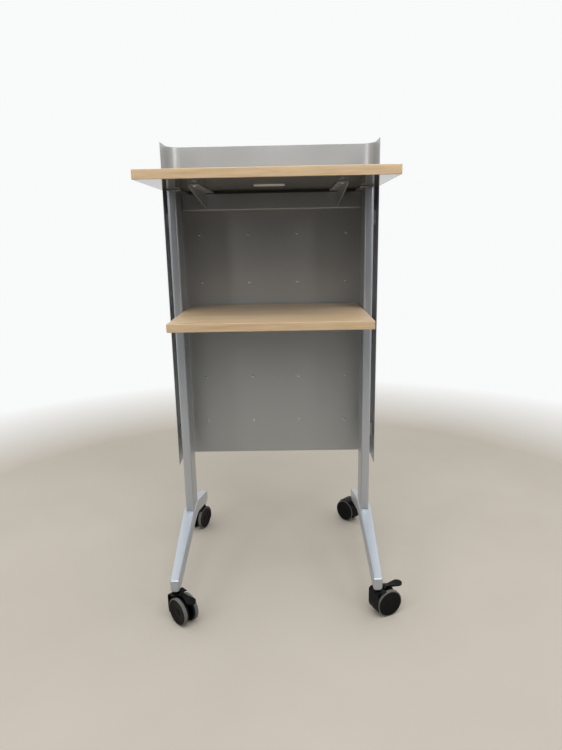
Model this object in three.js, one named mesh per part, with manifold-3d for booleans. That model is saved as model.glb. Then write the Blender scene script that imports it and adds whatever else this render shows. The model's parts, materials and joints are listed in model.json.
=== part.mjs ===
// A mobile presentation lectern: a worktop and a shelf carried by two upright tubes, a U-shaped
// sheet-steel modesty panel round the audience side, and two roof-shaped feet on swivel casters.
// Millimetres, +Z up. The user stands on the -Y side ("front"), the audience on the +Y side ("rear").
// The design is drawn with x = 0 on its plane of symmetry and y = 0 on the posts' front faces, then
// moved so that the origin lies on the floor under the middle of the bounding box.
import * as THREE from "three";
import { mergeVertices } from "three/addons/utils/BufferGeometryUtils.js";
import Module from "manifold-3d";

const wasm = await Module();
wasm.setup();

// ---- Driving dimensions -------------------------------------------------------------------------
const GAP = 0.3; // between pieces that touch
const PIN_PLAY = 0.25; // round a brake pin
const THROUGH = 30; // a drill's reach either way, past anything on a caster
const OVERSHOOT = 1; // of a blind drill past the face it starts from
const SIDES = { left: -1, right: 1 };
const SHIFT = { x: -13.8, y: -21.5 }; // from the drawing's origin to the middle of the bounding box

const TOP = { halfWidth: 300, front: -297, rear: 153, height: 1163, thick: 22, rearRadius: 37 };
const SHELF = { halfWidth: 254.5, front: -247, rear: 146, height: 809, thick: 21, rearRadius: 3 };
const BAND = { thick: 2, cornerRadius: 2.5 };

const PANEL = { halfWidth: 302, front: 46, rear: 156, low: 326, high: 1269, skin: 1.5, radius: 40 };
const STUD = { radius: 4.5, flat: 2.7, height: 1.3, pitch: 147, firstRow: 432, columns: 4, rows: 6 };

const POST = { inner: 256.5, outer: 281.5, depth: 80, low: 191, high: 1136.7, radius: 7, wall: 2 };
const TOP_PLATE = { inner: 244, rear: 146, thick: 3.7 };
const BEAM = { halfWidth: 262, front: 134, depth: 20.2, height: 48, radius: 3, wall: 2 };

const ARM = { web: 193, skin: 3, front: -174, flange: 26, tipHeight: 8, rootHeight: 46 };
const ARM_SCREW = { x: 179, y: -160, shank: 3, head: 6, crown: 3.6, rim: 1, headHeight: 4, length: 18 };
const SHELF_BRACKET = { skin: 2.5, front: -150, flange: 28, tipHeight: 12, rootHeight: 36 };
const PANEL_BRACKET = { skin: 3, inner: 260, reach: 28, height: 40, levels: { lower: 420, upper: 1060 } };
const LABEL = { width: 80, depth: 60, thick: 0.6, radius: 14, y: -77 };

const FOOT = { middle: 272, front: -266, rear: 306, under: 85, tipTop: 119, rootWidth: 35, tipWidth: 24 };
const FOOT_ARCH = { front: -10, rear: 92, shoulder: 143, crown: 155, pad: 34 };
const FOOT_TIP = { radius: 7, rise: 2 }; // the rounded nose, and how far its arris lies above tipTop
const FOOT_EDGE = 3; // rounding of the foot's long edges

// Each caster trails from its swivel axis; heading is the direction of its wheels at rest.
const CASTER = { wheelRadius: 37.5, trail: 29 };
const CORNERS = {
  front_left: { x: -FOOT.middle, y: -248, heading: -45, braked: true },
  front_right: { x: FOOT.middle, y: -248, heading: 25, braked: true },
  rear_left: { x: -FOOT.middle, y: 290, heading: -112, braked: false },
  rear_right: { x: FOOT.middle, y: 290, heading: 133, braked: false },
};
const STEM = { radius: 4, low: 60.5, high: 103 };
const SOCKET = { hole: 8, depth: 104, flange: 11, flangeThick: 1.7 };
// The hood's wall follows the wheels from its tail. Above the axle a braked hood's wall rises straight
// and turns into a lid; a free hood's wall carries on round the wheels.
const HOOD = { outer: 40.5, wall: 2, halfWidth: 22, tailAngle: 205, corner: 10 };
const LID = { brakedEnd: 16, freeAngle: 55 }; // where the lid stops, with a brake and without
const WEB = { half: 6, inset: 1, hub: 14 }; // between the wheels
// Round the stem: a neck, and on a braked hood a boss on top of it.
const BOSS = { radius: 12, low: 73, high: 82.5, neckLow: 52 };
const AXLE = { radius: 3, half: 19, clearance: 0.1, endPlay: 1 };
const WHEEL = { inner: 7, outer: 23.5, rim: 34, flange: 35.5, dish: 1.5, hub: 10, hubStep: 14, hubFace: 23 };
const TREAD = { low: 12.5, high: 22.3, shoulder: 1, chamfer: 1.5 };
const PEDAL = { pivotX: 22, pivotZ: 79.6, droop: 2, thick: 5, reach: 44, paddle: 13, pin: 1.5 };
const NECK = { start: 3.5, end: 14, flare: 100 }; // the pedal's neck, and where its flare meets the paddle
const EAR = { start: 6, half: 3, above: 2.8, below: 7 }; // on the hood, between the pedal's cheeks
const CHEEK = { inner: 3.3, radius: 2.8, length: 8 };

// ---- Finishes -----------------------------------------------------------------------------------
const finish = (color, roughness, metalness) => () =>
  new THREE.MeshStandardMaterial({ color, roughness, metalness });
const oakLaminate = finish(0xb79a74, 0.45, 0);
const oakEdging = finish(0xc6a87f, 0.5, 0);
const silverPaint = finish(0xa4a7ab, 0.38, 0.6);
const zincSteel = finish(0xb4b6b8, 0.35, 0.9);
const blackPlastic = finish(0x18191a, 0.5, 0);
const greyTread = finish(0x5c5e59, 0.7, 0);
const whiteLabel = finish(0xd8d8d4, 0.6, 0);

// ---- Solid helpers ------------------------------------------------------------------------------
function toSolid(geometry) {
  const bare = geometry.index ? geometry.toNonIndexed() : geometry.clone();
  bare.deleteAttribute("normal");
  bare.deleteAttribute("uv");
  const merged = mergeVertices(bare, 1e-3);
  return new wasm.Manifold(
    new wasm.Mesh({
      numProp: 3,
      vertProperties: merged.attributes.position.array,
      triVerts: new Uint32Array(merged.index.array),
    }),
  );
}

function toGeometry(solid) {
  const { vertProperties, triVerts } = solid.getMesh();
  const geometry = new THREE.BufferGeometry();
  geometry.setAttribute("position", new THREE.BufferAttribute(vertProperties, 3));
  geometry.setIndex(new THREE.BufferAttribute(triVerts, 1));
  geometry.computeVertexNormals();
  return geometry;
}

const join = (first, ...rest) =>
  toGeometry(rest.reduce((whole, piece) => whole.add(toSolid(piece)), toSolid(first)));
const cut = (first, ...rest) =>
  toGeometry(rest.reduce((whole, piece) => whole.subtract(toSolid(piece)), toSolid(first)));

// ---- Shape helpers ------------------------------------------------------------------------------
const radians = THREE.MathUtils.degToRad;

// A box between two values on each axis.
function box([x0, x1], [y0, y1], [z0, z1]) {
  return new THREE.BoxGeometry(x1 - x0, y1 - y0, z1 - z0).translate(
    (x0 + x1) / 2,
    (y0 + y1) / 2,
    (z0 + z1) / 2,
  );
}

// A closed outline from corner points, each [x, y] or [x, y, radius] to round that corner.
function outline(corners, Path = THREE.Shape) {
  const points = corners.map(([x, y]) => new THREE.Vector2(x, y));
  const path = new Path();
  corners.forEach(([, , radius = 0], i) => {
    const here = points[i];
    const back = points.at(i - 1).clone().sub(here).normalize();
    const onward = points[(i + 1) % points.length].clone().sub(here).normalize();
    const setback = radius / Math.tan(Math.acos(back.dot(onward)) / 2);
    const start = here.clone().addScaledVector(back, setback);
    if (i === 0) path.moveTo(start.x, start.y);
    else path.lineTo(start.x, start.y);
    if (!radius) return;
    const end = here.clone().addScaledVector(onward, setback);
    const turn = Math.sign(onward.cross(back));
    const centre = start.clone().add(new THREE.Vector2(back.y, -back.x).multiplyScalar(turn * radius));
    const from = start.clone().sub(centre).angle();
    const to = end.clone().sub(centre).angle();
    path.absarc(centre.x, centre.y, radius, from, to, turn < 0);
  });
  path.closePath();
  return path;
}

// A rectangle whose two front corners and two rear corners have their own radii.
const boardCorners = (half, front, rear, frontRadius, rearRadius) => [
  [-half, front, frontRadius],
  [half, front, frontRadius],
  [half, rear, rearRadius],
  [-half, rear, rearRadius],
];

// Extrudes a plan outline (x, y) between two heights.
function upright(shape, [z0, z1], curveSegments = 6) {
  const options = { depth: z1 - z0, bevelEnabled: false, curveSegments };
  return new THREE.ExtrudeGeometry(shape, options).translate(0, 0, z0);
}

// Extrudes a side outline drawn as (y, z) along X.
const SIDE_TO_WORLD = new THREE.Matrix4().makeBasis(
  new THREE.Vector3(0, 1, 0),
  new THREE.Vector3(0, 0, 1),
  new THREE.Vector3(1, 0, 0),
);
function sideways(shape, [x0, x1], curveSegments = 6) {
  const options = { depth: x1 - x0, bevelEnabled: false, curveSegments };
  return new THREE.ExtrudeGeometry(shape, options).applyMatrix4(SIDE_TO_WORLD).translate(x0, 0, 0);
}

// Extrudes an outline drawn as (x, z) across Y, centred on y = 0.
function across(shape, halfWidth, curveSegments = 6) {
  const options = { depth: 2 * halfWidth, bevelEnabled: false, curveSegments };
  return new THREE.ExtrudeGeometry(shape, options).translate(0, 0, -halfWidth).rotateX(Math.PI / 2);
}

// Turns a closed profile of [radius, height] points about the Y axis.
function turned(profile, segments = 24) {
  const points = profile.map(([radius, height]) => new THREE.Vector2(radius, height));
  return new THREE.LatheGeometry(points, segments);
}

const rod = (radius, y0, y1, segments = 16) =>
  turned([[0, y0], [radius, y0], [radius, y1], [0, y1]], segments);
const post = (radius, z0, z1, segments = 16) => rod(radius, z0, z1, segments).rotateX(Math.PI / 2);

// ---- The assembly -------------------------------------------------------------------------------
const lectern = new THREE.Group();
lectern.position.set(SHIFT.x, SHIFT.y, 0);

function add(parent, name, geometry, material) {
  const mesh = new THREE.Mesh(geometry, material());
  mesh.name = name;
  parent.add(mesh);
  return mesh;
}

// A laminate board with its edging: a thin band all round, flush with both faces.
function addBoard(name, bandName, board, drill = []) {
  const heights = [board.height - board.thick, board.height];
  const cornersInset = (inset) =>
    boardCorners(
      board.halfWidth - inset,
      board.front + inset,
      board.rear - inset,
      Math.max(BAND.cornerRadius - inset, 0),
      Math.max(board.rearRadius - inset, 0),
    );
  const edge = outline(cornersInset(0));
  edge.holes.push(outline(cornersInset(BAND.thick), THREE.Path));
  add(lectern, bandName, upright(edge, heights), oakEdging);
  const core = upright(outline(cornersInset(BAND.thick + GAP)), heights);
  add(lectern, name, drill.length ? cut(core, ...drill) : core, oakLaminate);
}

function buildBoards() {
  const underside = TOP.height - TOP.thick;
  const pilots = Object.values(SIDES).map((side) =>
    post(ARM_SCREW.shank + GAP, underside - OVERSHOOT, underside + ARM_SCREW.length).translate(
      side * ARM_SCREW.x,
      ARM_SCREW.y,
      0,
    ),
  );
  addBoard("worktop", "worktop_edge_band", TOP, pilots);
  addBoard("shelf_board", "shelf_edge_band", SHELF);

  const half = LABEL.width / 2;
  const ends = [LABEL.y - LABEL.depth / 2, LABEL.y + LABEL.depth / 2];
  const label = outline(boardCorners(half, ...ends, LABEL.radius, LABEL.radius));
  const face = underside - GAP;
  add(lectern, "underside_label", upright(label, [face - LABEL.thick, face]), whiteLabel);
}

// The modesty panel: one bent sheet, with the low round heads of its weld studs on the inside.
function buildPanel() {
  const path = (inset) => {
    const x = PANEL.halfWidth - inset;
    const y = PANEL.rear - inset;
    const r = PANEL.radius - inset;
    return [[-x, PANEL.front], [-x, y, r], [x, y, r], [x, PANEL.front]];
  };
  const section = outline([...path(0), ...path(PANEL.skin).reverse()]);
  const sheet = upright(section, [PANEL.low, PANEL.high], 8);
  const heads = [];
  const inside = PANEL.rear - PANEL.skin;
  const { radius, flat, height } = STUD;
  const buried = PANEL.skin / 2;
  const profile = [[0, -height], [flat, -height], [radius, 0], [radius, buried], [0, buried]];
  for (let column = 0; column < STUD.columns; column++)
    for (let row = 0; row < STUD.rows; row++) {
      const x = (column - (STUD.columns - 1) / 2) * STUD.pitch;
      heads.push(turned(profile, 8).translate(x, inside, STUD.firstRow + row * STUD.pitch));
    }
  add(lectern, "modesty_panel", join(sheet, ...heads), silverPaint);
}

// A rounded rectangular tube's section.
function tubeSection([x0, x1], [y0, y1], radius, wall) {
  const ring = (inset) => [
    [x0 + inset, y0 + inset, radius - inset],
    [x1 - inset, y0 + inset, radius - inset],
    [x1 - inset, y1 - inset, radius - inset],
    [x0 + inset, y1 - inset, radius - inset],
  ];
  const section = outline(ring(0));
  section.holes.push(outline(ring(wall), THREE.Path));
  return section;
}

// Orders a span so that its lower value comes first, on either side of the lectern.
const span = (side, a, b) => [side * a, side * b].sort((p, q) => p - q);

function buildUprights(sideName, side) {
  const section = tubeSection(span(side, POST.inner, POST.outer), [0, POST.depth], POST.radius, POST.wall);
  add(lectern, `${sideName}_post`, upright(section, [POST.low, POST.high], 4), silverPaint);

  const plateLow = POST.high + GAP;
  const plate = box(span(side, TOP_PLATE.inner, POST.outer), [0, TOP_PLATE.rear], [
    plateLow,
    plateLow + TOP_PLATE.thick,
  ]);
  add(lectern, `${sideName}_post_top_plate`, plate, silverPaint);
}

// The beam ties the two top plates together just inside the panel.
function buildBeam() {
  const top = POST.high;
  const spanY = [BEAM.front, BEAM.front + BEAM.depth];
  const section = tubeSection(spanY, [top - BEAM.height, top], BEAM.radius, BEAM.wall);
  add(lectern, "cross_beam", sideways(section, [-BEAM.halfWidth, BEAM.halfWidth], 3), silverPaint);
}

// A bent-sheet arm that carries the worktop forward of the beam.
function buildArm(sideName, side) {
  const top = TOP.height - TOP.thick - GAP;
  const rear = BEAM.front - GAP;
  const outer = ARM.web + ARM.skin / 2;
  const inner = ARM.web - ARM.skin / 2;
  const web = sideways(
    outline([
      [ARM.front, top],
      [ARM.front, top - ARM.tipHeight],
      [rear, top - ARM.rootHeight],
      [rear, top],
    ]),
    span(side, inner, outer),
  );
  const flange = box(span(side, outer - ARM.flange, outer), [ARM.front, rear], [top - ARM.skin, top]);
  const foot = box(span(side, inner, inner + ARM.flange), [rear - ARM.skin, rear], [
    top - ARM.rootHeight,
    top - 2 * ARM.skin,
  ]);
  const hole = post(ARM_SCREW.shank + GAP, top - 2 * ARM.skin, top + OVERSHOOT);
  const drilled = hole.translate(side * ARM_SCREW.x, ARM_SCREW.y, 0);
  add(lectern, `${sideName}_support_arm`, cut(join(web, flange, foot), drilled), silverPaint);

  const headTop = top - ARM.skin - GAP;
  const screw = turned([
    [0, headTop - ARM_SCREW.headHeight],
    [ARM_SCREW.crown, headTop - ARM_SCREW.headHeight],
    [ARM_SCREW.head, headTop - ARM_SCREW.rim],
    [ARM_SCREW.head, headTop],
    [ARM_SCREW.shank, headTop],
    [ARM_SCREW.shank, headTop + ARM_SCREW.length],
    [0, headTop + ARM_SCREW.length],
  ], 16).rotateX(Math.PI / 2);
  screw.translate(side * ARM_SCREW.x, ARM_SCREW.y, 0);
  add(lectern, `${sideName}_arm_screw`, screw, zincSteel);
}

// An angle under each end of the shelf, fixed to the post's inner face.
function buildShelfBracket(sideName, side) {
  const top = SHELF.height - SHELF.thick - GAP;
  const outer = POST.inner - GAP;
  const inner = outer - SHELF_BRACKET.skin;
  const web = sideways(
    outline([
      [SHELF_BRACKET.front, top],
      [SHELF_BRACKET.front, top - SHELF_BRACKET.tipHeight],
      [0, top - SHELF_BRACKET.rootHeight],
      [POST.depth, top - SHELF_BRACKET.rootHeight],
      [POST.depth, top],
    ]),
    span(side, inner, outer),
  );
  const flangeX = span(side, outer - SHELF_BRACKET.flange, outer);
  const flange = box(flangeX, [SHELF_BRACKET.front, POST.depth], [top - SHELF_BRACKET.skin, top]);
  add(lectern, `${sideName}_shelf_bracket`, join(web, flange), silverPaint);
}

// Angles between the back of a post and the panel's side wing.
function buildPanelBrackets(sideName, side) {
  const outer = PANEL.halfWidth - PANEL.skin - GAP;
  const front = POST.depth + GAP;
  for (const [levelName, level] of Object.entries(PANEL_BRACKET.levels)) {
    const heights = [level - PANEL_BRACKET.height / 2, level + PANEL_BRACKET.height / 2];
    const onPost = box(
      span(side, PANEL_BRACKET.inner, outer),
      [front, front + PANEL_BRACKET.skin],
      heights,
    );
    const onWing = box(
      span(side, outer - PANEL_BRACKET.skin, outer),
      [front, front + PANEL_BRACKET.reach],
      heights,
    );
    add(lectern, `${sideName}_panel_bracket_${levelName}`, join(onPost, onWing), silverPaint);
  }
}

// A foot: a roof-shaped bar under the post, narrowing towards a caster pad at each tip.
function buildFoot(sideName, side) {
  const deck = POST.low - GAP;
  const nose = FOOT.tipTop - FOOT_TIP.radius;
  const arris = FOOT.tipTop + FOOT_TIP.rise;
  const profile = new THREE.Shape();
  profile.moveTo(FOOT.front, FOOT.under);
  profile.lineTo(FOOT.front + FOOT_ARCH.pad, FOOT.under);
  profile.lineTo(FOOT_ARCH.front, FOOT_ARCH.shoulder);
  const middle = (FOOT_ARCH.front + FOOT_ARCH.rear) / 2;
  profile.quadraticCurveTo(middle, FOOT_ARCH.crown, FOOT_ARCH.rear, FOOT_ARCH.shoulder);
  profile.lineTo(FOOT.rear - FOOT_ARCH.pad, FOOT.under);
  profile.lineTo(FOOT.rear, FOOT.under);
  profile.lineTo(FOOT.rear, nose);
  profile.quadraticCurveTo(FOOT.rear, FOOT.tipTop, FOOT.rear - FOOT_TIP.radius, arris);
  profile.lineTo(POST.depth, deck);
  profile.lineTo(0, deck);
  profile.lineTo(FOOT.front + FOOT_TIP.radius, arris);
  profile.quadraticCurveTo(FOOT.front, FOOT.tipTop, FOOT.front, nose);
  profile.closePath();
  const bar = new THREE.ExtrudeGeometry(profile, {
    depth: FOOT.rootWidth - 2 * FOOT_EDGE,
    bevelThickness: FOOT_EDGE,
    bevelSize: FOOT_EDGE,
    bevelOffset: -FOOT_EDGE,
    bevelSegments: 2,
    curveSegments: 4,
  })
    .translate(0, 0, FOOT_EDGE - FOOT.rootWidth / 2)
    .applyMatrix4(SIDE_TO_WORLD);
  narrowTowardsTips(bar);
  bar.translate(side * FOOT.middle, 0, 0);
  const sockets = Object.values(CORNERS)
    .filter((corner) => Math.sign(corner.x) === side)
    .map(({ x, y }) => post(SOCKET.hole, FOOT.under - OVERSHOOT, SOCKET.depth).translate(x, y, 0));
  add(lectern, `${sideName}_foot`, cut(bar, ...sockets), silverPaint);
}

// Scales the width from full size beside the post to the tip width at either end.
function narrowTowardsTips(geometry) {
  const places = geometry.getAttribute("position");
  const tipScale = FOOT.tipWidth / FOOT.rootWidth;
  for (let i = 0; i < places.count; i++) {
    const y = places.getY(i);
    const out = y < 0 ? y / FOOT.front : Math.max(0, (y - POST.depth) / (FOOT.rear - POST.depth));
    places.setX(i, places.getX(i) * THREE.MathUtils.lerp(1, tipScale, out));
  }
}

// ---- Casters ------------------------------------------------------------------------------------
// Drawn with the swivel axis on z, the floor at z = 0 and the wheels trailing towards +x.

// A fixed sleeve in the foot, with a flange under the pad, and the stem that it grips.
function buildSocket(corner, place) {
  const sleeve = SOCKET.hole - GAP;
  const bore = STEM.radius + GAP;
  const under = FOOT.under - GAP;
  const profile = [
    [bore, under - SOCKET.flangeThick],
    [SOCKET.flange, under - SOCKET.flangeThick],
    [SOCKET.flange, under],
    [sleeve, under],
    [sleeve, STEM.high],
    [bore, STEM.high],
    [bore, under - SOCKET.flangeThick],
  ];
  add(place, `${corner}_socket`, turned(profile, 20).rotateX(Math.PI / 2), blackPlastic);
  add(place, `${corner}_stem`, post(STEM.radius, STEM.low, STEM.high), zincSteel);
}

// The hood's side view, a distance inside its outer face, from its tail to the end of its lid.
function hoodPath(depth, braked) {
  const { trail, wheelRadius } = CASTER;
  const radius = HOOD.outer - depth;
  const back = trail - radius;
  const lid = wheelRadius + radius;
  const corner = HOOD.corner - depth;
  const path = new THREE.Path();
  if (!braked) {
    path.absarc(trail, wheelRadius, radius, radians(HOOD.tailAngle), radians(LID.freeAngle), true);
    return path.getPoints(12);
  }
  path.absarc(trail, wheelRadius, radius, radians(HOOD.tailAngle), Math.PI, true);
  path.lineTo(back, lid - corner);
  path.absarc(back + corner, lid - corner, corner, Math.PI, Math.PI / 2, true);
  path.lineTo(LID.brakedEnd, lid);
  return path.getPoints(8);
}

// The hood: a web between the wheels, a fender round their leading side and a boss for the stem.
function buildHood(corner, place, braked) {
  const { trail, wheelRadius } = CASTER;
  const shell = [...hoodPath(0, braked), ...hoodPath(HOOD.wall, braked).reverse()];
  const fender = across(new THREE.Shape(shell), HOOD.halfWidth);
  const middle = [...hoodPath(WEB.inset, braked), new THREE.Vector2(trail, wheelRadius)];
  const web = across(new THREE.Shape(middle), WEB.half);
  const hub = rod(WEB.hub, -WEB.half, WEB.half).translate(trail, 0, wheelRadius);
  const neck = post(WEB.half, BOSS.neckLow, BOSS.high);
  const pieces = [web, fender, hub, neck];
  const holes = [
    post(STEM.radius + GAP, STEM.low - GAP, BOSS.high + OVERSHOOT),
    rod(AXLE.radius + GAP, -THROUGH, THROUGH).translate(trail, 0, wheelRadius),
  ];
  if (braked) {
    const { pivotX, pivotZ, pin } = PEDAL;
    pieces.push(post(BOSS.radius, BOSS.low, BOSS.high));
    pieces.push(box([EAR.start, pivotX], [-EAR.half, EAR.half], [pivotZ - EAR.below, pivotZ + EAR.above]));
    pieces.push(rod(EAR.above, -EAR.half, EAR.half).translate(pivotX, 0, pivotZ));
    holes.push(rod(pin + PIN_PLAY, -THROUGH, THROUGH).translate(pivotX, 0, pivotZ));
  }
  add(place, `${corner}_hood`, cut(join(...pieces), ...holes), blackPlastic);
}

// A wheel: a dished plastic centre turned about y, with a soft tread ring round it.
function buildWheel(corner, place, wheelName, turn) {
  const { wheelRadius } = CASTER;
  const { inner, outer, rim, flange, dish, hubFace } = WHEEL;
  const { low, high, shoulder, chamfer } = TREAD;
  const bore = AXLE.radius + AXLE.clearance;
  const centre = turned([
    [0, AXLE.half + AXLE.endPlay],
    [bore, AXLE.half + AXLE.endPlay],
    [bore, inner],
    [flange - shoulder, inner],
    [flange, inner + shoulder],
    [flange, low - GAP],
    [rim, low - GAP],
    [rim, outer - shoulder],
    [rim - dish, outer],
    [WHEEL.hubStep, outer - dish],
    [WHEEL.hub, hubFace],
    [0, hubFace],
  ]);
  const ring = rim + GAP;
  const tread = turned([
    [ring, low],
    [wheelRadius - shoulder, low],
    [wheelRadius, low + chamfer],
    [wheelRadius, high - chamfer],
    [wheelRadius - shoulder, high],
    [ring, high],
    [ring, low],
  ]);
  for (const [suffix, geometry, material] of [
    ["wheel", centre, blackPlastic],
    ["tread", tread, greyTread],
  ]) {
    const mesh = add(place, `${corner}_${wheelName}_${suffix}`, geometry, material);
    mesh.position.set(CASTER.trail, 0, wheelRadius);
    mesh.rotation.z = turn;
  }
}

// The brake pedal: a forked neck on a pin, running out between the wheels and flaring to a round paddle.
function buildPedal(corner, place) {
  const { thick, reach, paddle, pin } = PEDAL;
  const { half } = WEB;
  const flare = radians(NECK.flare);
  const plan = new THREE.Shape();
  plan.moveTo(NECK.start, -half);
  plan.lineTo(NECK.end, -half);
  plan.absarc(reach, 0, paddle, -flare, flare, false);
  plan.lineTo(NECK.end, half);
  plan.lineTo(NECK.start, half);
  plan.closePath();
  const plate = upright(plan, [-thick / 2, thick / 2]);
  const cheeks = [-1, 1].flatMap((side) => {
    const width = span(side, CHEEK.inner, half);
    const arm = box([0, CHEEK.length], width, [-CHEEK.radius, CHEEK.radius]);
    return [arm, rod(CHEEK.radius, ...width)];
  });
  const pinHole = rod(pin + PIN_PLAY, -THROUGH, THROUGH);
  const pedal = add(place, `${corner}_brake_pedal`, cut(join(plate, ...cheeks), pinHole), blackPlastic);
  pedal.position.set(PEDAL.pivotX, 0, PEDAL.pivotZ);
  pedal.rotation.y = radians(PEDAL.droop);
  const pinMesh = add(place, `${corner}_brake_pin`, rod(pin, -half, half, 12), zincSteel);
  pinMesh.position.copy(pedal.position);
}

function buildCaster(corner, { x, y, heading, braked }) {
  const place = new THREE.Group();
  place.position.set(x, y, 0);
  place.rotation.z = radians(heading);
  lectern.add(place);
  buildSocket(corner, place);
  buildHood(corner, place, braked);
  const axle = add(place, `${corner}_axle`, rod(AXLE.radius, -AXLE.half, AXLE.half, 24), zincSteel);
  axle.position.set(CASTER.trail, 0, CASTER.wheelRadius);
  buildWheel(corner, place, "left", 0);
  buildWheel(corner, place, "right", Math.PI);
  if (braked) buildPedal(corner, place);
}

buildBoards();
buildPanel();
buildBeam();
for (const [sideName, side] of Object.entries(SIDES)) {
  buildUprights(sideName, side);
  buildArm(sideName, side);
  buildShelfBracket(sideName, side);
  buildPanelBrackets(sideName, side);
  buildFoot(sideName, side);
}
for (const [corner, settings] of Object.entries(CORNERS)) buildCaster(corner, settings);

export default lectern;
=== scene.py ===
"""Looks for the presentation lectern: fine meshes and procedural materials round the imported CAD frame."""

import json
import math

import bmesh
import bpy
from mathutils import Matrix, Vector


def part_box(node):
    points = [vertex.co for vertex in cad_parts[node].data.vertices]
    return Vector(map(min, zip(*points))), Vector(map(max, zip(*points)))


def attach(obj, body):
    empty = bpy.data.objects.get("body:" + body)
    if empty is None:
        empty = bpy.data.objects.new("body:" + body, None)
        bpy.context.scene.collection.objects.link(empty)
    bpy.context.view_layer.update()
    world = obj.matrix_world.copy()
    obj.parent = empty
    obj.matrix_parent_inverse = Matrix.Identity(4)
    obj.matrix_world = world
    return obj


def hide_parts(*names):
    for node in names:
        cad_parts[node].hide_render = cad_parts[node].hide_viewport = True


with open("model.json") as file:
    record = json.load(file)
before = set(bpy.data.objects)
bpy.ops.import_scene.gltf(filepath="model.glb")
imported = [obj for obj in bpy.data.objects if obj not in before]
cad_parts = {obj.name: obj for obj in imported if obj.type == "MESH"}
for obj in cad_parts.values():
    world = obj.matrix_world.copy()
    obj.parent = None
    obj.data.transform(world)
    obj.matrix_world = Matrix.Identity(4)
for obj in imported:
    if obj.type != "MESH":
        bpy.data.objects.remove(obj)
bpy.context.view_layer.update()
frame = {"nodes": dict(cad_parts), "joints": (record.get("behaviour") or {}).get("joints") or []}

MM = 0.001
SIDES = {"left": -1, "right": 1}
BRAKED = ("front_left", "front_right")
CORNERS = BRAKED + ("rear_left", "rear_right")


# ---- Places and sizes from the frame ------------------------------------------------------------
def box(node):
    """A node's lowest and highest corners."""
    low, high = (Vector(corner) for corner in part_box(node))
    return low, high


def joint(name):
    """The frame's joint of that name."""
    return next(j for j in frame["joints"] if j["name"] == name)


TOP_LOW, TOP_HIGH = box("worktop_edge_band")
MID_X = (TOP_LOW.x + TOP_HIGH.x) / 2


# ---- Mesh building ------------------------------------------------------------------------------
SHARP_ABOVE = 35
ON_AXIS = 1e-7
MERGE_REACH = 1e-6


def link(name, mesh):
    """A new object in the scene that shows the mesh."""
    piece = bpy.data.objects.new(name, mesh)
    bpy.context.scene.collection.objects.link(piece)
    return piece


def make(name, verts, faces, sharp=SHARP_ABOVE):
    """A mesh object from vertices and faces, shaded smooth except at edges above the sharp angle."""
    mesh = bpy.data.meshes.new(name)
    mesh.from_pydata([tuple(v) for v in verts], [], faces)
    tidy_normals(mesh, sharp)
    return link(name, mesh)


def tidy_normals(mesh, sharp=SHARP_ABOVE):
    """Turns all faces outwards and shades them smooth below the sharp angle."""
    work = bmesh.new()
    work.from_mesh(mesh)
    bmesh.ops.recalc_face_normals(work, faces=work.faces)
    work.to_mesh(mesh)
    work.free()
    mesh.shade_smooth()
    mesh.set_sharp_from_angle(angle=math.radians(sharp))


def round_edges(piece, width, segments=3, angle=38):
    """Rounds a piece's real edges by a bevel modifier."""
    bevel = piece.modifiers.new("rounding", "BEVEL")
    bevel.width = width
    bevel.segments = segments
    bevel.limit_method = "ANGLE"
    bevel.angle_limit = math.radians(angle)
    bevel.harden_normals = True


def rounded(corners, steps=10):
    """Points round a closed outline; each corner is (a, b, radius)."""
    points = []
    count = len(corners)
    for i, (a, b, radius) in enumerate(corners):
        here = Vector((a, b))
        back = (Vector(corners[i - 1][:2]) - here).normalized()
        onward = (Vector(corners[(i + 1) % count][:2]) - here).normalized()
        if radius <= 0:
            points.append(here)
            continue
        half = math.acos(max(-1, min(1, back.dot(onward)))) / 2
        setback = radius / math.tan(half)
        centre = here + (back + onward).normalized() * (radius / math.sin(half))
        start = here + back * setback - centre
        sweep = math.pi - 2 * half
        turn = 1 if back.x * onward.y - back.y * onward.x < 0 else -1
        for k in range(steps + 1):
            angle = turn * sweep * k / steps
            cos, sin = math.cos(angle), math.sin(angle)
            points.append(centre + Vector((start.x * cos - start.y * sin, start.x * sin + start.y * cos)))
    return points


def arc(a, b, radius, start, end, steps):
    """Points along an arc about (a, b), from one angle in degrees to another."""
    sweep = [math.radians(start + (end - start) * k / steps) for k in range(steps + 1)]
    return [(a + radius * math.cos(t), b + radius * math.sin(t)) for t in sweep]


def millimetres(points):
    """The same points in metres."""
    return [(a * MM, b * MM) for a, b in points]


def rectangle(a0, a1, b0, b1, radius=0.0, far_radius=None):
    """Corners of a rectangle; far_radius rounds the two corners at b1."""
    far = radius if far_radius is None else far_radius
    return [(a0, b0, radius), (a1, b0, radius), (a1, b1, far), (a0, b1, far)]


def inset(corners, by):
    """Moves a rectangle's corners inwards, keeping its rounding concentric."""
    a = [c[0] for c in corners]
    b = [c[1] for c in corners]
    mid = ((min(a) + max(a)) / 2, (min(b) + max(b)) / 2)
    return [
        (x - math.copysign(by, x - mid[0]), y - math.copysign(by, y - mid[1]), max(r - by, 0.0002))
        for x, y, r in corners
    ]


PLANES = {
    "XY": lambda a, b, c: (a, b, c),
    "YZ": lambda a, b, c: (c, a, b),
    "XZ": lambda a, b, c: (a, c, b),
}


def stack(name, rings, plane="XY", closed_loop=False):
    """Joins rings of points, each (outline, height), into one skin; closed_loop joins last to first."""
    place = PLANES[plane]
    count = len(rings[0][0])
    verts = [place(p[0], p[1], height) for outline, height in rings for p in outline]
    faces = []
    for r in range(len(rings) if closed_loop else len(rings) - 1):
        lower, upper = r * count, (r + 1) % len(rings) * count
        for i in range(count):
            j = (i + 1) % count
            faces.append((lower + i, lower + j, upper + j, upper + i))
    if not closed_loop:
        faces.append(tuple(reversed(range(count))))
        faces.append(tuple(range((len(rings) - 1) * count, len(rings) * count)))
    return make(name, verts, faces)


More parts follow.
